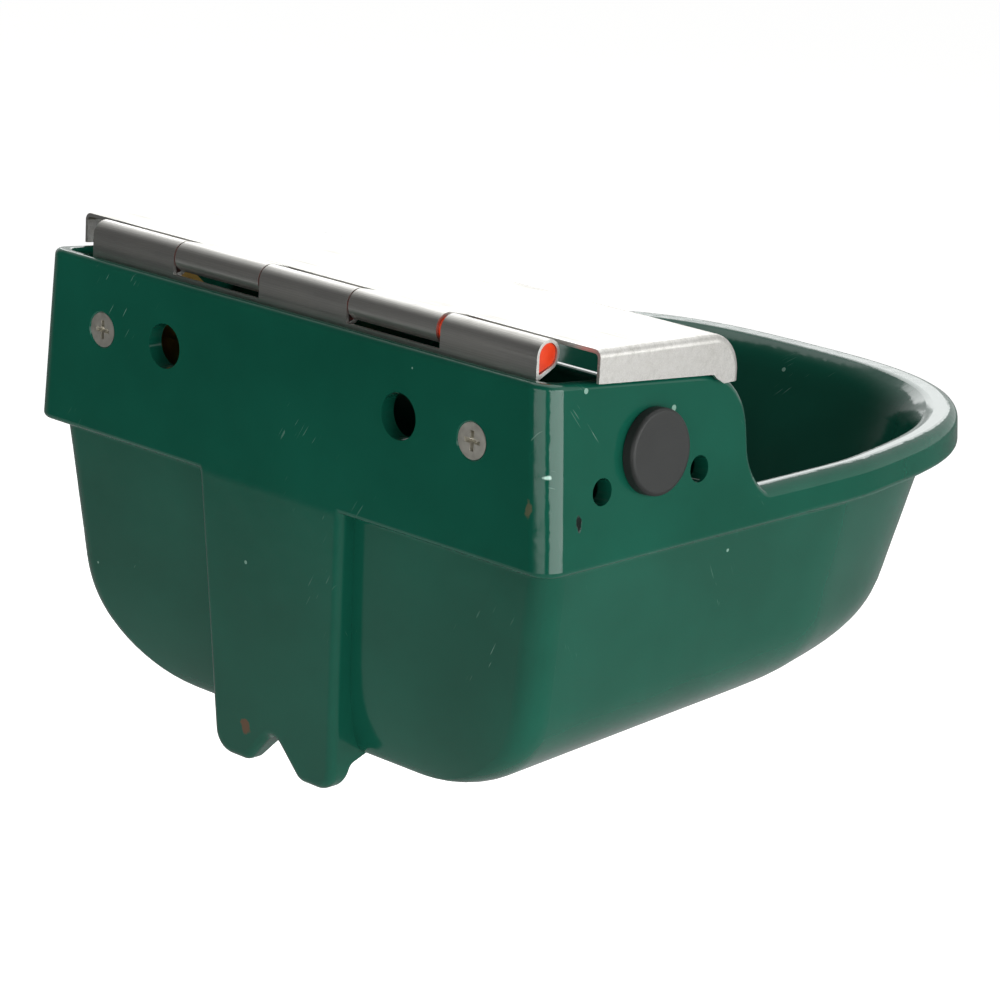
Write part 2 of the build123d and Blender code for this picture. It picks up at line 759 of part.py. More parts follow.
valve_screw_end = flange_end - nut_height - 2.5
with BuildPart() as valve_screws:
    with BuildSketch(valve_frame.offset(washer_thickness + seat * 2)):
        with at_valve_screws():
            RegularPolygon(hex_radius(nut_across), 6)
    extrude(amount=4)
    with BuildSketch(valve_frame.offset(washer_thickness + seat * 2)):
        with at_valve_screws():
            Circle(screw_r)
    extrude(amount=valve_screw_end - washer_thickness - seat * 2)
valve_screws.part.label = "valve_screws"
export_step(valve_screws.part, "parts/valve_screws.step")

with BuildPart() as valve_nuts:
    with BuildSketch(valve_frame.offset(flange_end - seat)):
        with at_valve_screws():
            RegularPolygon(hex_radius(nut_across), 6)
            Circle(screw_r + thread_clearance, mode=Mode.SUBTRACT)
    extrude(amount=-nut_height)
valve_nuts.part.label = "valve_nuts"
export_step(valve_nuts.part, "parts/valve_nuts.step")

# ================= float lever =================
# drawn with the float hanging low, the valve open
float_swing = 16.0
hub_r = 4.5
hub_half = cheek_inner - 0.15
arm_half = 6.0
screw_arm_near = -41.5
screw_arm_far = -46.0
adjust_r = 2.5
rod_r = 2.5
rod_drop = 14.0
pivot = lever_side.from_local_coords(Vector(-pivot_drop, pivot_w, 0))
# local X along the rod, away from the pivot and down, local Z to the wall
rod_plane = Plane(
    origin=pivot,
    x_dir=(-cos(radians(float_swing)), 0, -sin(radians(float_swing))),
    z_dir=(0, 1, 0),
)
socket_start = 3.0
socket_end = 12.0
socket_half = 5.0


def rod_section(along):
    # plane across the rod, local Z along it
    return Plane(origin=rod_plane.from_local_coords(Vector(along, -rod_drop, 0)), z_dir=rod_plane.x_dir)


with BuildPart() as float_lever:
    with BuildSketch(lever_side):
        with Locations((-pivot_drop, pivot_w)):
            Circle(hub_r)
    extrude(amount=hub_half, both=True)
    # upper arm for the adjusting screw
    with BuildSketch(lever_side):
        with Locations((-pivot_drop, pivot_w)):
            Circle(3.8)
        with Locations((0, (screw_arm_near + screw_arm_far) / 2)):
            Rectangle(9.5, screw_arm_near - screw_arm_far)
        make_hull()
    extrude(amount=arm_half, both=True)
    # heel that meets the housing when the float hangs low
    with BuildSketch(lever_side):
        with Locations((-housing_r - soft_gap - 1.9, pivot_w + 5)):
            Rectangle(3.8, 9)
    extrude(amount=arm_half, both=True)
    # lower arm with the socket of the rod
    with BuildSketch(rod_plane):
        Circle(hub_r)
        with Locations(((socket_start + socket_end) / 2, -rod_drop)):
            Rectangle(socket_end - socket_start, socket_half * 2)
        make_hull()
    extrude(amount=socket_half, both=True)
    # holes of the pivot, the rod and the adjusting screw
    with BuildSketch(lever_side):
        with Locations((-pivot_drop, pivot_w)):
            Circle(pivot_r + 0.06)
    extrude(amount=hub_half + 1, both=True, mode=Mode.SUBTRACT)
    with BuildSketch(rod_section(socket_end)):
        Circle(rod_r + thread_clearance)
    extrude(amount=socket_start + 3 - socket_end, mode=Mode.SUBTRACT)
    with BuildSketch(valve_frame.offset(screw_arm_near + 4)):
        Circle(adjust_r + thread_clearance)
    extrude(amount=screw_arm_far - screw_arm_near - 5, mode=Mode.SUBTRACT)
float_lever.part.label = "float_lever"
export_step(float_lever.part, "parts/float_lever.step")

# ================= adjusting screw and its lock nut =================
tip_gap = 0.2
adjust_tip = piston_end - tip_gap
adjust_end = screw_arm_far - 9.0
with BuildPart() as adjust_screw:
    with BuildSketch(valve_frame.offset(adjust_tip)):
        Circle(adjust_r)
    extrude(amount=adjust_end - adjust_tip)
    fillet(adjust_screw.faces().sort_by(Axis.X)[-1].edges(), adjust_r - 0.3)
    with BuildSketch(valve_frame.offset(adjust_end)):
        Rectangle(adjust_r * 3, 0.8)
    extrude(amount=1.4, mode=Mode.SUBTRACT)
adjust_screw.part.label = "adjust_screw"
export_step(adjust_screw.part, "parts/adjust_screw.step")

with BuildPart() as adjust_nut:
    with BuildSketch(valve_frame.offset(screw_arm_far - seat)):
        RegularPolygon(hex_radius(8), 6)
        Circle(adjust_r + thread_clearance, mode=Mode.SUBTRACT)
    extrude(amount=-4)
adjust_nut.part.label = "adjust_nut"
export_step(adjust_nut.part, "parts/adjust_nut.step")

# ================= pivot pin and its clip =================
pin_head_r = 3.4
clip_groove = cheek_outer + 0.25
clip_thickness = 0.8
clip_groove_r = 1.45
with BuildPart() as pivot_pin:
    with BuildSketch(lever_side.offset(-cheek_outer - seat)):
        with Locations((-pivot_drop, pivot_w)):
            Circle(pin_head_r)
    extrude(amount=-1.6)
    with BuildSketch(lever_side.offset(-cheek_outer - seat)):
        with Locations((-pivot_drop, pivot_w)):
            Circle(pivot_r)
    extrude(amount=cheek_outer * 2 + seat + 2.4)
    with BuildSketch(lever_side.offset(clip_groove)):
        with Locations((-pivot_drop, pivot_w)):
            Circle(pivot_r + 1)
            Circle(clip_groove_r, mode=Mode.SUBTRACT)
    extrude(amount=clip_thickness, mode=Mode.SUBTRACT)
pivot_pin.part.label = "pivot_pin"
export_step(pivot_pin.part, "parts/pivot_pin.step")

with BuildPart() as pivot_clip:
    with BuildSketch(lever_side.offset(clip_groove + seat)):
        with Locations((-pivot_drop, pivot_w)):
            Circle(pin_head_r + 0.4)
            Circle(clip_groove_r + seat, mode=Mode.SUBTRACT)
        with Locations((-pivot_drop - pin_head_r, pivot_w)):
            Rectangle(pin_head_r * 2, clip_groove_r * 1.8, mode=Mode.SUBTRACT)
    extrude(amount=clip_thickness - seat * 2)
pivot_clip.part.label = "pivot_clip"
export_step(pivot_clip.part, "parts/pivot_clip.step")

# ================= rod, float and nuts =================
float_reach = 60.0           # pivot to the middle of the float, along the rod
float_length = 84.0
float_width = 52.0
float_height = 40.0
float_round = 9.0
rod_start = socket_start + 3.2
rod_end = float_reach + float_length / 2 + 8.5


with BuildPart() as float_rod:
    with BuildSketch(rod_section(rod_start)):
        Circle(rod_r)
    extrude(amount=rod_end - rod_start)
    chamfer(float_rod.edges().filter_by(GeomType.CIRCLE), 0.4)
float_rod.part.label = "float_rod"
export_step(float_rod.part, "parts/float_rod.step")

with BuildPart() as water_float:
    with BuildSketch(rod_plane):
        with Locations((float_reach, -rod_drop)):
            Rectangle(float_length, float_height)
    extrude(amount=float_width / 2, both=True)
    fillet(water_float.edges(), float_round)
    with BuildSketch(rod_section(float_reach)):
        Circle(rod_r + 0.3)
    extrude(amount=float_length, both=True, mode=Mode.SUBTRACT)
water_float.part.label = "float"
export_step(water_float.part, "parts/float.step")

with BuildPart() as float_nuts:
    for start, way in ((float_reach - float_length / 2 - seat, -1), (float_reach + float_length / 2 + seat, 1)):
        with BuildSketch(rod_section(start)):
            Circle(6.0)
            Circle(rod_r + thread_clearance, mode=Mode.SUBTRACT)
        extrude(amount=way * 1.2)
        with BuildSketch(rod_section(start + way)):
            RegularPolygon(hex_radius(8), 6)
            Circle(rod_r + thread_clearance, mode=Mode.SUBTRACT)
        extrude(amount=way * 4)
float_nuts.part.label = "float_nuts"
export_step(float_nuts.part, "parts/float_nuts.step")
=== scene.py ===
from math import cos, radians, sin

import bpy
from mathutils import Matrix, Vector


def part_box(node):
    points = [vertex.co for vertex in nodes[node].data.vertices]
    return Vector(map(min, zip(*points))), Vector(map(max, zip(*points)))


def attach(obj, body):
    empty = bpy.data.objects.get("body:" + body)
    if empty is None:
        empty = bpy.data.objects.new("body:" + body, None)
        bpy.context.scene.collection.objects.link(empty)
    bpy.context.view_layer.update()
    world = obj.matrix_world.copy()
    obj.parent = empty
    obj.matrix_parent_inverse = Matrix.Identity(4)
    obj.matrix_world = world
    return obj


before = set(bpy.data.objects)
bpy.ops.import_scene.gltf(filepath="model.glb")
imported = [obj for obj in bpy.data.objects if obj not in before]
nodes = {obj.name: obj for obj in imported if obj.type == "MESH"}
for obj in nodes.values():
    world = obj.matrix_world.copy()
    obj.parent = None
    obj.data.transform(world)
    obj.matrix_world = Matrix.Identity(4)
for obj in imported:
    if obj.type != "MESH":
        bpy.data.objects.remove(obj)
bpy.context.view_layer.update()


# ---------------------------------------------------------------------------
# Bowl casting: grey iron poured in a sand mould, fettled, then coated in a
# thick glossy stoving enamel that rounds every edge and leaves a faint orange
# peel, pale flecks and hairline scratches, and a few bare or rusty spots.
# ---------------------------------------------------------------------------
def hex_colour(text):
    # sRGB hex to the linear values that shaders use
    values = [int(text[i:i + 2], 16) / 255 for i in (0, 2, 4)]
    return [v / 12.92 if v <= 0.04045 else ((v + 0.055) / 1.055) ** 2.4 for v in values] + [1.0]


def add_node(owner, kind, settings=None, inputs=None, links=None):
    # one node with its settings, socket values and incoming links
    node = owner.node_tree.nodes.new(kind)
    for name, value in (settings or {}).items():
        setattr(node, name, value)
    for name, value in (inputs or {}).items():
        node.inputs[name].default_value = value
    for name, socket in (links or {}).items():
        owner.node_tree.links.new(socket, node.inputs[name])
    return node


def new_material(name):
    # an empty node material
    material = bpy.data.materials.new(name)
    material.use_nodes = True
    material.node_tree.nodes.clear()
    return material


def finish_material(material, shader):
    # ends the material's tree with its shader
    add_node(material, "ShaderNodeOutputMaterial", links={"Surface": shader.outputs[0]})


def coat(material, *names):
    # puts a material on CAD nodes
    for name in names:
        nodes[name].data.materials.clear()
        nodes[name].data.materials.append(material)


# the colour sockets of a Mix node go by number, because its other kinds share their names
mix_a, mix_b, mix_out = 6, 7, 2

# glossy green enamel: the tone drifts over about 60 mm where the coat is thicker
enamel = new_material("Stoved_enamel_on_cast_iron")
place = add_node(enamel, "ShaderNodeTexCoord")
at = place.outputs["Object"]
drift = add_node(enamel, "ShaderNodeTexNoise", inputs={"Scale": 16.0, "Detail": 3.0}, links={"Vector": at})
drift_fac = add_node(
    enamel,
    "ShaderNodeMapRange",
    inputs={"From Min": 0.3, "From Max": 0.7},
    links={"Value": drift.outputs["Fac"]},
)
tone = add_node(
    enamel,
    "ShaderNodeMix",
    settings={"data_type": "RGBA"},
    inputs={mix_a: hex_colour("0A4536"), mix_b: hex_colour("0F5040")},
    links={"Factor": drift_fac.outputs["Result"]},
)
# pale flecks of dust and dented enamel, 0.6 to 2 mm across, on about one cell in four
cells = add_node(enamel, "ShaderNodeTexVoronoi", inputs={"Scale": 75.0}, links={"Vector": at})
chosen = add_node(enamel, "ShaderNodeSeparateColor", links={"Color": cells.outputs["Color"]})
bare_share = 0.74
pick = add_node(
    enamel,
    "ShaderNodeMath",
    settings={"operation": "GREATER_THAN"},
    inputs={1: bare_share},
    links={0: chosen.outputs["Red"]},
)
fleck_size = add_node(
    enamel,
    "ShaderNodeMapRange",
    inputs={"To Min": 0.022, "To Max": 0.078},
    links={"Value": chosen.outputs["Green"]},
)
fleck_in = add_node(
    enamel,
    "ShaderNodeMath",
    settings={"operation": "LESS_THAN"},
    links={0: cells.outputs["Distance"], 1: fleck_size.outputs["Result"]},
)
fleck = add_node(
    enamel,
    "ShaderNodeMath",
    settings={"operation": "MULTIPLY"},
    links={0: pick.outputs[0], 1: fleck_in.outputs[0]},
)
# hairline scratches from handling, 0.4 mm wide and 8 mm long, aslant and in patches
scratch_length = 0.008
scratch_width = 0.0004
slant = add_node(
    enamel,
    "ShaderNodeMapping",
    settings={"vector_type": "TEXTURE"},
    inputs={
        "Rotation": (radians(35), radians(58), 0),
        "Scale": (scratch_length, scratch_length, scratch_width),
    },
    links={"Vector": at},
)
hair = add_node(
    enamel,
    "ShaderNodeTexNoise",
    inputs={"Scale": 1.0, "Detail": 0.0},
    links={"Vector": slant.outputs["Vector"]},
)
hair_in = add_node(
    enamel,
    "ShaderNodeMapRange",
    inputs={"From Min": 0.78, "From Max": 0.82},
    links={"Value": hair.outputs["Fac"]},
)
patches = add_node(enamel, "ShaderNodeTexNoise", inputs={"Scale": 22.0, "Detail": 2.0}, links={"Vector": at})
patch_in = add_node(
    enamel,
    "ShaderNodeMapRange",
    inputs={"From Min": 0.6, "From Max": 0.72},
    links={"Value": patches.outputs["Fac"]},
)
scratch = add_node(
    enamel,
    "ShaderNodeMath",
    settings={"operation": "MULTIPLY"},
    links={0: hair_in.outputs["Result"], 1: patch_in.outputs["Result"]},
)
pale_fac = add_node(
    enamel,
    "ShaderNodeMath",
    settings={"operation": "MAXIMUM", "use_clamp": True},
    links={0: fleck.outputs[0], 1: scratch.outputs[0]},
)
fleck_strength = 0.55
pale_part = add_node(
    enamel,
    "ShaderNodeMath",
    settings={"operation": "MULTIPLY"},
    inputs={1: fleck_strength},
    links={0: pale_fac.outputs[0]},
)
flecked = add_node(
    enamel,
    "ShaderNodeMix",
    settings={"data_type": "RGBA"},
    inputs={mix_b: hex_colour("8FB5A6")},
    links={"Factor": pale_part.outputs[0], mix_a: tone.outputs[mix_out]},
)
# marks of this casting and painted light, each an ellipsoid with a ragged edge: colour, centre and half sizes
# in metres
# a real blow hole, its near-black colour partly painted shade inside the pit
blow_hole_painted_dark = ("0A1512", (-0.1122, -0.0138, -0.0203), (0.004, 0.0011, 0.0022))
corner_scrape = ("4A4F3C", (-0.1045, 0.0, -0.0157), (0.0011, 0.004, 0.0028))
foot_rust = ("57422F", (0.0139, -0.0065, -0.1155), (0.0022, 0.006, 0.0026))
# a painted highlight: a pale glint on the rounding of the near corner of the back plate
painted_corner_glint = ("A9C9BD", (-0.1092, 0.0, -0.0058), (0.0016, 0.004, 0.0008))
raggedness = 1.6
wander = add_node(enamel, "ShaderNodeTexNoise", inputs={"Scale": 420.0, "Detail": 2.0}, links={"Vector": at})
wander_part = add_node(
    enamel,
    "ShaderNodeMath",
    settings={"operation": "MULTIPLY"},
    inputs={1: raggedness},
    links={0: wander.outputs["Fac"]},
)
surface = flecked.outputs[mix_out]
spots = []
for spot_colour, spot_place, spot_half in (blow_hole_painted_dark, corner_scrape, foot_rust, painted_corner_glint):
    centred = add_node(
        enamel,
        "ShaderNodeVectorMath",
        settings={"operation": "SUBTRACT"},
        inputs={1: spot_place},
        links={0: at},
    )
    scaled = add_node(
        enamel,
        "ShaderNodeVectorMath",
        settings={"operation": "DIVIDE"},
        inputs={1: spot_half},
        links={0: centred.outputs[0]},
    )
    away = add_node(
        enamel, "ShaderNodeVectorMath", settings={"operation": "LENGTH"}, links={0: scaled.outputs[0]}
    )
    ragged = add_node(
        enamel,
        "ShaderNodeMath",
        settings={"operation": "ADD"},
        links={0: away.outputs["Value"], 1: wander_part.outputs[0]},
    )
    spot = add_node(
        enamel,
        "ShaderNodeMapRange",
        inputs={"From Min": 1.9, "From Max": 1.55},
        links={"Value": ragged.outputs[0]},
    )
    marked = add_node(
        enamel,
        "ShaderNodeMix",
        settings={"data_type": "RGBA"},
        inputs={mix_b: hex_colour(spot_colour)},
        links={"Factor": spot.outputs["Result"], mix_a: surface},
    )
    surface = marked.outputs[mix_out]
    spots.append(spot.outputs["Result"])
# gloss: nearly wet, duller in the flecks and scratches
gloss = add_node(
    enamel,
    "ShaderNodeMapRange",
    inputs={"To Min": 0.13, "To Max": 0.45},
    links={"Value": pale_fac.outputs[0]},
)
enamel_shader = add_node(
    enamel,
    "ShaderNodeBsdfPrincipled",
    inputs={"IOR": 1.5, "Specular IOR Level": 0.4},
    links={"Base Color": surface, "Roughness": gloss.outputs["Result"]},
)
# casting swell about 15 mm across, orange peel about 3 mm across, and the blow hole sunk
swell = add_node(enamel, "ShaderNodeTexNoise", inputs={"Scale": 65.0, "Detail": 2.0}, links={"Vector": at})
swell_bump = add_node(
    enamel,
    "ShaderNodeBump",
    inputs={"Strength": 0.3, "Distance": 0.0004},
    links={"Height": swell.outputs["Fac"]},
)
peel = add_node(enamel, "ShaderNodeTexNoise", inputs={"Scale": 330.0, "Detail": 1.0}, links={"Vector": at})
peel_bump = add_node(
    enamel,
    "ShaderNodeBump",
    inputs={"Strength": 0.3, "Distance": 0.00008},
    links={"Height": peel.outputs["Fac"], "Normal": swell_bump.outputs["Normal"]},
)
hole_bump = add_node(
    enamel,
    "ShaderNodeBump",
    settings={"invert": True},
    inputs={"Strength": 0.8, "Distance": 0.0006},
    links={"Height": spots[0], "Normal": peel_bump.outputs["Normal"]},
)
enamel.node_tree.links.new(hole_bump.outputs["Normal"], enamel_shader.inputs["Normal"])
finish_material(enamel, enamel_shader)
coat(enamel, "bowl_casting")


# ---------------------------------------------------------------------------
# Plug of the spare inlet: one soft black moulding, pressed into the hole from
# outside. Its skin is dull with a fine grain, a little grey from handling.
# ---------------------------------------------------------------------------
plug_black = new_material("Moulded_black_polyethylene")
place = add_node(plug_black, "ShaderNodeTexCoord")
cloud = add_node(
    plug_black,
    "ShaderNodeTexNoise",
    inputs={"Scale": 90.0, "Detail": 4.0},
    links={"Vector": place.outputs["Object"]},
)
plug_tone = add_node(
    plug_black,
    "ShaderNodeMix",
    settings={"data_type": "RGBA"},
    inputs={mix_a: hex_colour("191B1A"), mix_b: hex_colour("242625")},
    links={"Factor": cloud.outputs["Fac"]},
)
plug_shader = add_node(
    plug_black,
    "ShaderNodeBsdfPrincipled",
    inputs={"Roughness": 0.5, "IOR": 1.5, "Specular IOR Level": 0.35},
    links={"Base Color": plug_tone.outputs[mix_out]},
)
# spark-eroded grain of the mould, drawn about 0.6 mm across so that it shows
grain = add_node(
    plug_black,
    "ShaderNodeTexNoise",
    inputs={"Scale": 1700.0, "Detail": 2.0},
    links={"Vector": place.outputs["Object"]},
)
grain_bump = add_node(
    plug_black,
    "ShaderNodeBump",
    inputs={"Strength": 0.4, "Distance": 0.0001},
    links={"Height": grain.outputs["Fac"]},
)
plug_black.node_tree.links.new(grain_bump.outputs["Normal"], plug_shader.inputs["Normal"])
finish_material(plug_black, plug_shader)
coat(plug_black, "inlet_plug")


# ---------------------------------------------------------------------------
# Hinge leaf and cover: 1 mm stainless sheet, cold rolled, blanked, bent and
# rolled round the pin. The rolling lines run lengthwise along the hinge, and
# the skin is satin with cloudy patches where it was formed.
# ---------------------------------------------------------------------------
sheet_steel = new_material("Cold_rolled_stainless_sheet")
place = add_node(sheet_steel, "ShaderNodeTexCoord")
at = place.outputs["Object"]
# rolling lines about 0.4 mm apart and 60 mm long
along = add_node(
    sheet_steel, "ShaderNodeMapping", inputs={"Scale": (16.0, 2400.0, 2400.0)}, links={"Vector": at}
)
lines = add_node(
    sheet_steel,
    "ShaderNodeTexNoise",
    inputs={"Scale": 1.0, "Detail": 3.0},
    links={"Vector": along.outputs[0]},
)
wide = add_node(sheet_steel, "ShaderNodeMapping", inputs={"Scale": (9.0, 420.0, 420.0)}, links={"Vector": at})
bands = add_node(
    sheet_steel, "ShaderNodeTexNoise", inputs={"Scale": 1.0, "Detail": 2.0}, links={"Vector": wide.outputs[0]}
)
cloud = add_node(
    sheet_steel, "ShaderNodeTexNoise", inputs={"Scale": 55.0, "Detail": 4.0}, links={"Vector": at}
)
streaks = add_node(
    sheet_steel,
    "ShaderNodeMath",
    settings={"operation": "ADD"},
    links={0: lines.outputs["Fac"], 1: bands.outputs["Fac"]},
)
mottle = add_node(
    sheet_steel,
    "ShaderNodeMath",
    settings={"operation": "ADD"},
    links={0: streaks.outputs[0], 1: cloud.outputs["Fac"]},
)
steel_fac = add_node(
    sheet_steel,
    "ShaderNodeMapRange",
    inputs={"From Min": 1.1, "From Max": 1.9},
    links={"Value": mottle.outputs[0]},
)
steel_tone = add_node(
    sheet_steel,
    "ShaderNodeMix",
    settings={"data_type": "RGBA"},
    inputs={mix_a: hex_colour("B0AFAA"), mix_b: hex_colour("DCDBD7")},
    links={"Factor": steel_fac.outputs["Result"]},
)
satin = add_node(
    sheet_steel,
    "ShaderNodeMapRange",
    inputs={"From Min": 1.1, "From Max": 1.9, "To Min": 0.5, "To Max": 0.34},
    links={"Value": mottle.outputs[0]},
)
steel_shader = add_node(
    sheet_steel,
    "ShaderNodeBsdfPrincipled",
    inputs={"Metallic": 1.0},
    links={"Base Color": steel_tone.outputs[mix_out], "Roughness": satin.outputs["Result"]},
)
line_bump = add_node(
    sheet_steel,
    "ShaderNodeBump",
    inputs={"Strength": 0.25, "Distance": 0.00006},
    links={"Height": streaks.outputs[0]},
)
sheet_steel.node_tree.links.new(line_bump.outputs["Normal"], steel_shader.inputs["Normal"])
finish_material(sheet_steel, steel_shader)
coat(sheet_steel, "hinge_leaf", "cover")


# ---------------------------------------------------------------------------
# Hinge pin: a red-orange plastic rod, extruded and cut, so that the hinge
# neither rusts nor rattles. Its end shows bright in the open last knuckle.
# ---------------------------------------------------------------------------
pin_red = new_material("Extruded_red_polyamide")
place = add_node(pin_red, "ShaderNodeTexCoord")
cloud = add_node(
    pin_red,
    "ShaderNodeTexNoise",
    inputs={"Scale": 300.0, "Detail": 3.0},
    links={"Vector": place.outputs["Object"]},
)
pin_tone = add_node(
    pin_red,
    "ShaderNodeMix",
    settings={"data_type": "RGBA"},
    inputs={mix_a: hex_colour("C22A0C"), mix_b: hex_colour("DC4214")},
    links={"Factor": cloud.outputs["Fac"]},
)
pin_shader = add_node(
    pin_red,
    "ShaderNodeBsdfPrincipled",
    inputs={"Roughness": 0.28, "IOR": 1.53, "Subsurface Weight": 0.15, "Subsurface Scale": 0.002},
    links={"Base Color": pin_tone.outputs[mix_out]},
)
saw = add_node(
    pin_red,
    "ShaderNodeTexNoise",
    inputs={"Scale": 900.0, "Detail": 2.0},
    links={"Vector": place.outputs["Object"]},
)
saw_bump = add_node(
    pin_red,
    "ShaderNodeBump",
    inputs={"Strength": 0.3, "Distance": 0.0001},
    links={"Height": saw.outputs["Fac"]},
)
pin_red.node_tree.links.new(saw_bump.outputs["Normal"], pin_shader.inputs["Normal"])
finish_material(pin_red, pin_shader)
coat(pin_red, "hinge_pin")


# ---------------------------------------------------------------------------
# Screws, washers and nuts of the hinge: M6 stainless, cold headed and rolled,
# so the skin is brighter than the sheet, in smeared patches. The free
# thread past each nut is its own small piece.
# ---------------------------------------------------------------------------
fastener = new_material("Cold_headed_stainless_steel")
place = add_node(fastener, "ShaderNodeTexCoord")
smear = add_node(
    fastener,
    "ShaderNodeTexNoise",
    inputs={"Scale": 450.0, "Detail": 4.0},
    links={"Vector": place.outputs["Object"]},
)
fastener_tone = add_node(
    fastener,
    "ShaderNodeMix",
    settings={"data_type": "RGBA"},
    inputs={mix_a: hex_colour("C4C1B6"), mix_b: hex_colour("E6E3D9")},
    links={"Factor": smear.outputs["Fac"]},
)
fastener_gloss = add_node(
    fastener,
    "ShaderNodeMapRange",
    inputs={"To Min": 0.38, "To Max": 0.62},
    links={"Value": smear.outputs["Fac"]},
)
fastener_shader = add_node(
    fastener,
    "ShaderNodeBsdfPrincipled",
    inputs={"Metallic": 1.0},
    links={"Base Color": fastener_tone.outputs[mix_out], "Roughness": fastener_gloss.outputs["Result"]},
)
dents = add_node(
    fastener,
    "ShaderNodeTexNoise",
    inputs={"Scale": 1500.0, "Detail": 2.0},
    links={"Vector": place.outputs["Object"]},
)
dent_bump = add_node(
    fastener,
    "ShaderNodeBump",
    inputs={"Strength": 0.35, "Distance": 0.00006},
    links={"Height": dents.outputs["Fac"]},
)
fastener.node_tree.links.new(dent_bump.outputs["Normal"], fastener_shader.inputs["Normal"])
finish_material(fastener, fastener_shader)
coat(
    fastener, "leaf_screws", "leaf_washers", "leaf_nuts", "valve_screws", "valve_screw_washers", "valve_nuts",
    "adjust_screw", "adjust_nut", "pivot_pin", "pivot_clip", "float_rod", "float_nuts",
)

# one turned ridge, wound round a rod at the thread's pitch
thread_tree = bpy.data.node_groups.new("Rolled_thread", "GeometryNodeTree")
for socket_name, socket_kind in (
    ("Radius", "NodeSocketFloat"),
    ("Pitch", "NodeSocketFloat"),
    ("Length", "NodeSocketFloat"),
    ("Metal", "NodeSocketMaterial"),
):
    thread_tree.interface.new_socket(socket_name, in_out="INPUT", socket_type=socket_kind)
thread_tree.interface.new_socket("Thread", in_out="OUTPUT", socket_type="NodeSocketGeometry")


class ThreadOwner:
    # lets add_node work on the thread's tree as it does on a material
    node_tree = thread_tree


sizes = add_node(ThreadOwner, "NodeGroupInput")
turns = add_node(
    ThreadOwner,
    "ShaderNodeMath",
    settings={"operation": "DIVIDE"},
    links={0: sizes.outputs["Length"], 1: sizes.outputs["Pitch"]},
)
winding = add_node(
    ThreadOwner,
    "GeometryNodeCurveSpiral",
    inputs={"Resolution": 40},
    links={
        "Rotations": turns.outputs[0],
        "Start Radius": sizes.outputs["Radius"],
        "End Radius": sizes.outputs["Radius"],
        "Height": sizes.outputs["Length"],
    },
)
ridge_share = 0.3            # of the pitch that half a ridge takes up
flank = add_node(
    ThreadOwner,
    "ShaderNodeMath",
    settings={"operation": "MULTIPLY"},
    inputs={1: ridge_share},
    links={0: sizes.outputs["Pitch"]},
)
profile = add_node(
    ThreadOwner,
    "GeometryNodeCurvePrimitiveCircle",
    inputs={"Resolution": 4},
    links={"Radius": flank.outputs[0]},
)
ridge = add_node(
    ThreadOwner,
    "GeometryNodeCurveToMesh",
    inputs={"Fill Caps": True},
    links={"Curve": winding.outputs["Curve"], "Profile Curve": profile.outputs["Curve"]},
)
whole = add_node(ThreadOwner, "GeometryNodeRealizeInstances", links={"Geometry": ridge.outputs["Mesh"]})
metal = add_node(
    ThreadOwner,
    "GeometryNodeSetMaterial",
    links={"Geometry": whole.outputs["Geometry"], "Material": sizes.outputs["Metal"]},
)
add_node(ThreadOwner, "NodeGroupOutput", links={"Thread": metal.outputs["Geometry"]})


def wind_thread(radius, pitch, length, material, start, way):
    # mesh of one thread, its foot at start and running along way
    blank = bpy.data.objects.new("thread_blank", bpy.data.meshes.new("thread_blank"))
    bpy.context.scene.collection.objects.link(blank)
    modifier = blank.modifiers.new("thread", "NODES")
    modifier.node_group = thread_tree
    values = {"Radius": radius, "Pitch": pitch, "Length": length, "Metal": material}
    for item in thread_tree.interface.items_tree:
        if item.in_out == "INPUT":
            modifier[item.identifier] = values[item.name]
    ready = blank.evaluated_get(bpy.context.evaluated_depsgraph_get())
    mesh = bpy.data.meshes.new_from_object(ready)
    bpy.data.objects.remove(blank)
    turn = Vector(way).to_track_quat("Z", "Y").to_matrix().to_4x4()
    mesh.transform(Matrix.Translation(start) @ turn)
    return mesh


def thread_piece(name, body, material, radius, pitch, length, starts, way):
    # joins the threads of like screws into one piece on one body
    points, faces = [], []
    for start in starts:
        mesh = wind_thread(radius, pitch, length, material, start, way)
        first = len(points)
        points += [point.co.copy() for point in mesh.vertices]
        faces += [[first + corner for corner in face.vertices] for face in mesh.polygons]
    joined = bpy.data.meshes.new(name)
    joined.from_pydata(points, [], faces)
    joined.materials.append(material)
    piece = bpy.data.objects.new(name, joined)
    bpy.context.scene.collection.objects.link(piece)
    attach(piece, body)


# M6 coarse thread: 1 mm pitch, its ridges' middle a little inside the 3 mm of the rod
ridge_radius = 0.00278
ridge_pitch = 0.001
thread_clear = 0.0003
leaf_screw_x = 0.081
leaf_screw_z = -0.0008
leaf_screw_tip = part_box("leaf_screws")[0][1]
leaf_nut_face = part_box("leaf_nuts")[0][1]
thread_piece(
    "leaf_screw_threads",
    "casting",
    fastener,
    ridge_radius,
    ridge_pitch,
    leaf_nut_face - leaf_screw_tip - 2 * thread_clear,
    [(side * leaf_screw_x, leaf_screw_tip + thread_clear, leaf_screw_z) for side in (-1, 1)],
    (0, 1, 0),
)


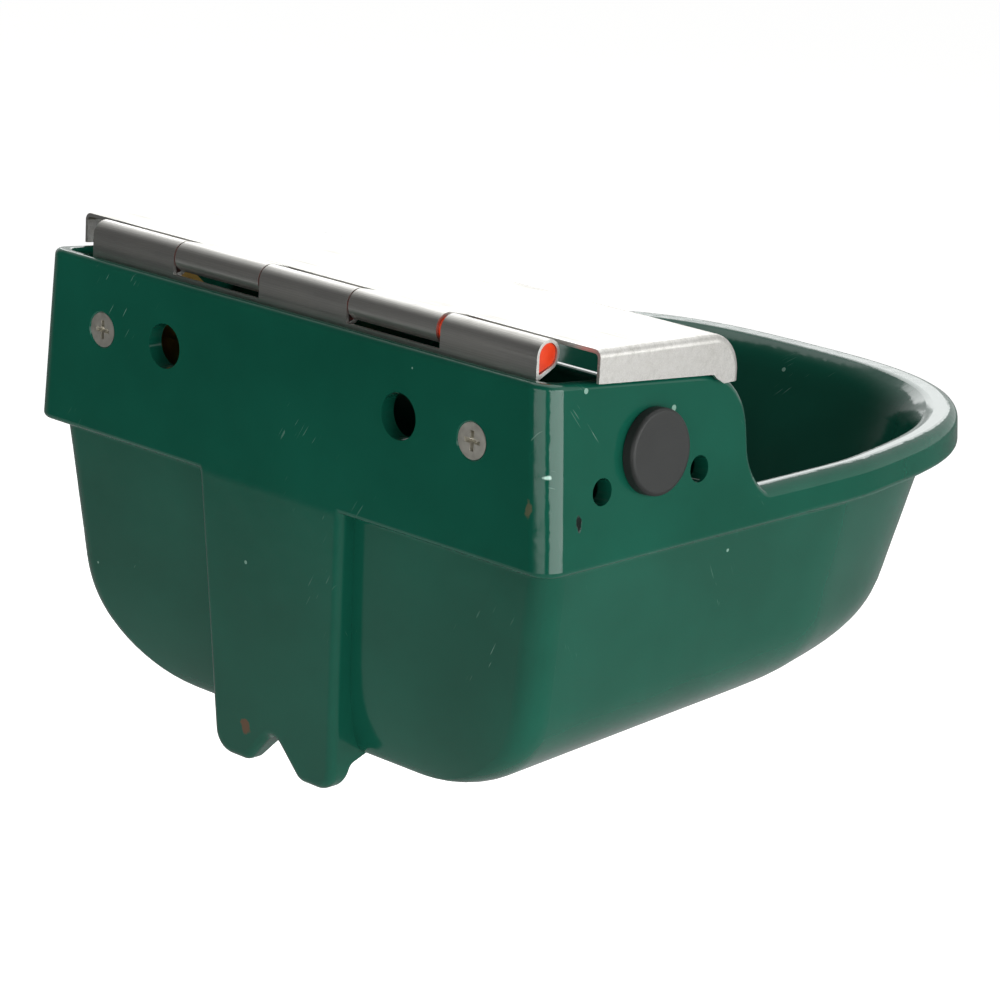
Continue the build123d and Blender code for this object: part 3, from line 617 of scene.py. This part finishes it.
# ---------------------------------------------------------------------------
# Float valve: a hot-pressed brass body with a half-inch threaded stub, held
# against the side over a rubber gasket. Brass turns warm and slightly dull
# where it is pressed, and bright where it is turned.
# ---------------------------------------------------------------------------
brass = new_material("Hot_pressed_brass")
place = add_node(brass, "ShaderNodeTexCoord")
tarnish = add_node(
    brass,
    "ShaderNodeTexNoise",
    inputs={"Scale": 140.0, "Detail": 5.0},
    links={"Vector": place.outputs["Object"]},
)
brass_tone = add_node(
    brass,
    "ShaderNodeMix",
    settings={"data_type": "RGBA"},
    inputs={mix_a: hex_colour("B08B45"), mix_b: hex_colour("D3B26A")},
    links={"Factor": tarnish.outputs["Fac"]},
)
brass_gloss = add_node(
    brass,
    "ShaderNodeMapRange",
    inputs={"To Min": 0.5, "To Max": 0.25},
    links={"Value": tarnish.outputs["Fac"]},
)
brass_shader = add_node(
    brass,
    "ShaderNodeBsdfPrincipled",
    inputs={"Metallic": 1.0},
    links={"Base Color": brass_tone.outputs[mix_out], "Roughness": brass_gloss.outputs["Result"]},
)
scale_skin = add_node(
    brass,
    "ShaderNodeTexNoise",
    inputs={"Scale": 1100.0, "Detail": 3.0},
    links={"Vector": place.outputs["Object"]},
)
brass_bump = add_node(
    brass,
    "ShaderNodeBump",
    inputs={"Strength": 0.35, "Distance": 0.0001},
    links={"Height": scale_skin.outputs["Fac"]},
)
brass.node_tree.links.new(brass_bump.outputs["Normal"], brass_shader.inputs["Normal"])
finish_material(brass, brass_shader)
coat(brass, "valve_body", "float_lever")

# half-inch pipe thread on the stub, 14 turns to the inch, along the inlet, which stands
# square to the side and so leans with its draft
inlet_lean = radians(4.2)
inlet_way = Vector((cos(inlet_lean), 0, sin(inlet_lean)))
inlet_up = Vector((-sin(inlet_lean), 0, cos(inlet_lean)))
inlet_face = Vector((0.110687, -0.045, -0.004))
inlet_ridge_radius = 0.01018
inlet_pitch = 0.001814
inlet_thread_start = 0.0013
inlet_thread_length = 0.0109
thread_piece(
    "inlet_thread",
    "casting",
    brass,
    inlet_ridge_radius,
    inlet_pitch,
    inlet_thread_length,
    [inlet_face + inlet_way * inlet_thread_start],
    inlet_way,
)

# free ends of the two valve screws, inside the compartment
valve_screw_tip = -0.01935
valve_screw_offset = 0.02145
valve_screw_drop = -0.00885
free_end = 0.0018
valve_screw_tips = [
    inlet_face
    + inlet_way * valve_screw_tip
    + inlet_up * valve_screw_drop
    + Vector((0, side * valve_screw_offset, 0))
    for side in (-1, 1)
]
thread_piece(
    "valve_screw_threads",
    "casting",
    fastener,
    ridge_radius,
    ridge_pitch,
    free_end,
    valve_screw_tips,
    inlet_way,
)


# ---------------------------------------------------------------------------
# Gasket and piston seal: black rubber, stamped and pressed, dead matt with a
# bloom of talc left from the mould.
# ---------------------------------------------------------------------------
rubber = new_material("Pressed_black_rubber")
place = add_node(rubber, "ShaderNodeTexCoord")
bloom = add_node(
    rubber,
    "ShaderNodeTexNoise",
    inputs={"Scale": 180.0, "Detail": 4.0},
    links={"Vector": place.outputs["Object"]},
)
rubber_tone = add_node(
    rubber,
    "ShaderNodeMix",
    settings={"data_type": "RGBA"},
    inputs={mix_a: hex_colour("151515"), mix_b: hex_colour("242424")},
    links={"Factor": bloom.outputs["Fac"]},
)
rubber_shader = add_node(
    rubber,
    "ShaderNodeBsdfPrincipled",
    inputs={"Roughness": 0.75, "IOR": 1.52},
    links={"Base Color": rubber_tone.outputs[mix_out]},
)
rubber_bump = add_node(
    rubber,
    "ShaderNodeBump",
    inputs={"Strength": 0.3, "Distance": 0.0001},
    links={"Height": bloom.outputs["Fac"]},
)
rubber.node_tree.links.new(rubber_bump.outputs["Normal"], rubber_shader.inputs["Normal"])
finish_material(rubber, rubber_shader)
coat(rubber, "valve_gasket", "piston_seal")


# ---------------------------------------------------------------------------
# Nozzle and piston: the nozzle is turned stainless steel, bright with fine
# rings, and the piston is a white acetal moulding with a waxy surface.
# ---------------------------------------------------------------------------
turned = new_material("Turned_stainless_steel")
place = add_node(turned, "ShaderNodeTexCoord")
tool_marks = add_node(
    turned,
    "ShaderNodeTexWave",
    settings={"bands_direction": "X"},
    inputs={"Scale": 700.0, "Distortion": 0.4, "Detail": 1.0},
    links={"Vector": place.outputs["Object"]},
)
turned_tone = add_node(
    turned,
    "ShaderNodeMix",
    settings={"data_type": "RGBA"},
    inputs={mix_a: hex_colour("B9B8B3"), mix_b: hex_colour("D8D7D3")},
    links={"Factor": tool_marks.outputs["Fac"]},
)
turned_shader = add_node(
    turned,
    "ShaderNodeBsdfPrincipled",
    inputs={"Metallic": 1.0, "Roughness": 0.25},
    links={"Base Color": turned_tone.outputs[mix_out]},
)
turned_bump = add_node(
    turned,
    "ShaderNodeBump",
    inputs={"Strength": 0.2, "Distance": 0.00005},
    links={"Height": tool_marks.outputs["Fac"]},
)
turned.node_tree.links.new(turned_bump.outputs["Normal"], turned_shader.inputs["Normal"])
finish_material(turned, turned_shader)
coat(turned, "valve_nozzle")

acetal = new_material("Moulded_white_acetal")
place = add_node(acetal, "ShaderNodeTexCoord")
cloud = add_node(
    acetal,
    "ShaderNodeTexNoise",
    inputs={"Scale": 120.0, "Detail": 3.0},
    links={"Vector": place.outputs["Object"]},
)
acetal_tone = add_node(
    acetal,
    "ShaderNodeMix",
    settings={"data_type": "RGBA"},
    inputs={mix_a: hex_colour("DEDCD3"), mix_b: hex_colour("EBE9E2")},
    links={"Factor": cloud.outputs["Fac"]},
)
acetal_shader = add_node(
    acetal,
    "ShaderNodeBsdfPrincipled",
    inputs={"Roughness": 0.35, "IOR": 1.48, "Subsurface Weight": 0.1, "Subsurface Scale": 0.002},
    links={"Base Color": acetal_tone.outputs[mix_out]},
)
finish_material(acetal, acetal_shader)
coat(acetal, "valve_piston")


# ---------------------------------------------------------------------------
# Float: a block of cream expanded plastic with rounded edges, moulded in
# beads that leave a faint cell pattern, threaded on a stainless rod.
# ---------------------------------------------------------------------------
foam = new_material("Bead_moulded_float_foam")
place = add_node(foam, "ShaderNodeTexCoord")
at = place.outputs["Object"]
# beads about 4 mm across, with thin joints between them
beads = add_node(
    foam,
    "ShaderNodeTexVoronoi",
    settings={"feature": "DISTANCE_TO_EDGE"},
    inputs={"Scale": 250.0},
    links={"Vector": at},
)
joint_line = add_node(
    foam,
    "ShaderNodeMapRange",
    inputs={"From Min": 0.0, "From Max": 0.09},
    links={"Value": beads.outputs["Distance"]},
)
foam_tone = add_node(
    foam,
    "ShaderNodeMix",
    settings={"data_type": "RGBA"},
    inputs={mix_a: hex_colour("BDB8A8"), mix_b: hex_colour("DAD6C8")},
    links={"Factor": joint_line.outputs["Result"]},
)
foam_shader = add_node(
    foam,
    "ShaderNodeBsdfPrincipled",
    inputs={"Roughness": 0.6, "IOR": 1.45},
    links={"Base Color": foam_tone.outputs[mix_out]},
)
foam_bump = add_node(
    foam,
    "ShaderNodeBump",
    inputs={"Strength": 0.5, "Distance": 0.0002},
    links={"Height": joint_line.outputs["Result"]},
)
foam.node_tree.links.new(foam_bump.outputs["Normal"], foam_shader.inputs["Normal"])
finish_material(foam, foam_shader)
coat(foam, "float")


# ---------------------------------------------------------------------------
# Studio: a pale floor well below the bowl, which hangs as if on its wall, soft
# boxes overhead, at the side, on the wall side and in front, and a surround that
# mirrors bright in front of the bowl and dim behind it, as in a photographer's bay.
# ---------------------------------------------------------------------------
floor_drop = 0.42
floor_half = 6.0
floor_mesh = bpy.data.meshes.new("studio_floor")
floor_mesh.from_pydata(
    [
        (-floor_half, -floor_half, -floor_drop),
        (floor_half, -floor_half, -floor_drop),
        (floor_half, floor_half, -floor_drop),
        (-floor_half, floor_half, -floor_drop),
    ],
    [],
    [(0, 1, 2, 3)],
)
floor = bpy.data.objects.new("studio_floor", floor_mesh)
bpy.context.scene.collection.objects.link(floor)
paper = new_material("White_studio_paper")
rays = add_node(paper, "ShaderNodeLightPath")
spot_at = add_node(paper, "ShaderNodeTexCoord")
spot_parts = add_node(paper, "ShaderNodeSeparateXYZ", links={"Vector": spot_at.outputs["Object"]})
# gloss on the bowl mirrors a floor that dims far out on the wall side and away from the bowl
dusk = add_node(
    paper,
    "ShaderNodeMapRange",
    settings={"interpolation_type": "SMOOTHSTEP"},
    inputs={"From Min": 0.95, "From Max": 0.5, "To Min": 0.05, "To Max": 0.42},
    links={"Value": spot_parts.outputs["Y"]},
)
far_off = add_node(
    paper, "ShaderNodeVectorMath", settings={"operation": "LENGTH"}, links={0: spot_at.outputs["Object"]}
)
pool = add_node(
    paper,
    "ShaderNodeMapRange",
    settings={"interpolation_type": "SMOOTHSTEP"},
    inputs={"From Min": 0.6, "From Max": 1.7, "To Min": 1.0, "To Max": 0.5},
    links={"Value": far_off.outputs["Value"]},
)
floor_light = add_node(
    paper,
    "ShaderNodeMath",
    settings={"operation": "MULTIPLY"},
    links={0: dusk.outputs["Result"], 1: pool.outputs["Result"]},
)
# matt paper with its shadow, lifted to white for the camera alone
matte = add_node(paper, "ShaderNodeBsdfDiffuse", inputs={"Color": hex_colour("F4F4F2")})
mirrored = add_node(paper, "ShaderNodeEmission", links={"Strength": floor_light.outputs[0]})
glow = add_node(paper, "ShaderNodeEmission", inputs={"Strength": 0.8})
both = add_node(paper, "ShaderNodeAddShader", links={0: matte.outputs[0], 1: glow.outputs[0]})
in_gloss = add_node(
    paper,
    "ShaderNodeMixShader",
    links={"Fac": rays.outputs["Is Glossy Ray"], 1: matte.outputs[0], 2: mirrored.outputs[0]},
)
seen = add_node(
    paper,
    "ShaderNodeMixShader",
    links={"Fac": rays.outputs["Is Camera Ray"], 1: in_gloss.outputs[0], 2: both.outputs[0]},
)
finish_material(paper, seen)
floor_mesh.materials.append(paper)

surround = bpy.data.worlds.new("studio_surround")
bpy.context.scene.world = surround
surround.use_nodes = True
surround.node_tree.nodes.clear()
# white for the camera, a weak even fill, and in gloss bright in front and dim on the wall side
rays = add_node(surround, "ShaderNodeLightPath")
way = add_node(surround, "ShaderNodeTexCoord")
way_parts = add_node(surround, "ShaderNodeSeparateXYZ", links={"Vector": way.outputs["Generated"]})
dusk = add_node(
    surround,
    "ShaderNodeMapRange",
    settings={"interpolation_type": "SMOOTHSTEP"},
    inputs={"From Min": 0.4, "From Max": -0.5, "To Min": 0.05, "To Max": 0.8},
    links={"Value": way_parts.outputs["Y"]},
)
bright = add_node(surround, "ShaderNodeBackground", inputs={"Strength": 1.0})
fill = add_node(surround, "ShaderNodeBackground", inputs={"Strength": 0.2})
mirrored = add_node(surround, "ShaderNodeBackground", links={"Strength": dusk.outputs["Result"]})
in_gloss = add_node(
    surround,
    "ShaderNodeMixShader",
    links={"Fac": rays.outputs["Is Glossy Ray"], 1: fill.outputs[0], 2: mirrored.outputs[0]},
)
seen = add_node(
    surround,
    "ShaderNodeMixShader",
    links={"Fac": rays.outputs["Is Camera Ray"], 1: in_gloss.outputs[0], 2: bright.outputs[0]},
)
for node in (bright, fill, mirrored):
    node.inputs["Color"].default_value = (1, 1, 1, 1)
add_node(surround, "ShaderNodeOutputWorld", links={"Surface": seen.outputs[0]})


def soft_box(name, place, aim, size, power):
    # an area lamp that the camera doesn't see, sizes in metres and power in watts
    data = bpy.data.lights.new(name, "AREA")
    data.shape = "RECTANGLE"
    data.size, data.size_y = size
    data.energy = power
    lamp = bpy.data.objects.new(name, data)
    lamp.location = place
    lamp.rotation_euler = (Vector(aim) - Vector(place)).to_track_quat("-Z", "Y").to_euler()
    lamp.visible_camera = False
    bpy.context.scene.collection.objects.link(lamp)


soft_box("soft_box_above", place=(0.1, -0.35, 1.1), aim=(0, -0.12, 0), size=(1.4, 1.2), power=7)
soft_box("soft_box_side", place=(-1.5, -0.2, 0.1), aim=(0, -0.1, -0.05), size=(1.9, 1.0), power=25)
soft_box("soft_box_wall_side", place=(-0.5, 1.5, 0.08), aim=(0, 0, -0.05), size=(1.7, 1.0), power=12)
soft_box("soft_box_front", place=(0.9, -1.1, 0.5), aim=(0, -0.1, 0), size=(1.0, 0.5), power=3.9)


# ---------------------------------------------------------------------------
# Camera: a long lens, seen from the wall side and a little above the bowl.
# It stands at an azimuth and an elevation round its target, slightly rolled.
# ---------------------------------------------------------------------------
azimuth = radians(222.584)
elevation = radians(15.879)
roll = radians(3.294)
target = Vector((-0.0016, -0.1, -0.054031))
distance = 1.16676
back = Vector((sin(azimuth) * cos(elevation), -cos(azimuth) * cos(elevation), sin(elevation)))
level = Vector((0, 0, 1)).cross(back).normalized()
upright = back.cross(level)
right = cos(roll) * level + sin(roll) * upright
top = cos(roll) * upright - sin(roll) * level
camera_data = bpy.data.cameras.new("camera")
camera_data.sensor_width = 36
camera_data.lens = 129.54
camera = bpy.data.objects.new("camera", camera_data)
camera.matrix_world = Matrix((right, top, back)).transposed().to_4x4()
camera.matrix_world.translation = target + back * distance
bpy.context.scene.collection.objects.link(camera)
bpy.context.scene.camera = camera
bpy.context.scene.view_settings.view_transform = "Standard"
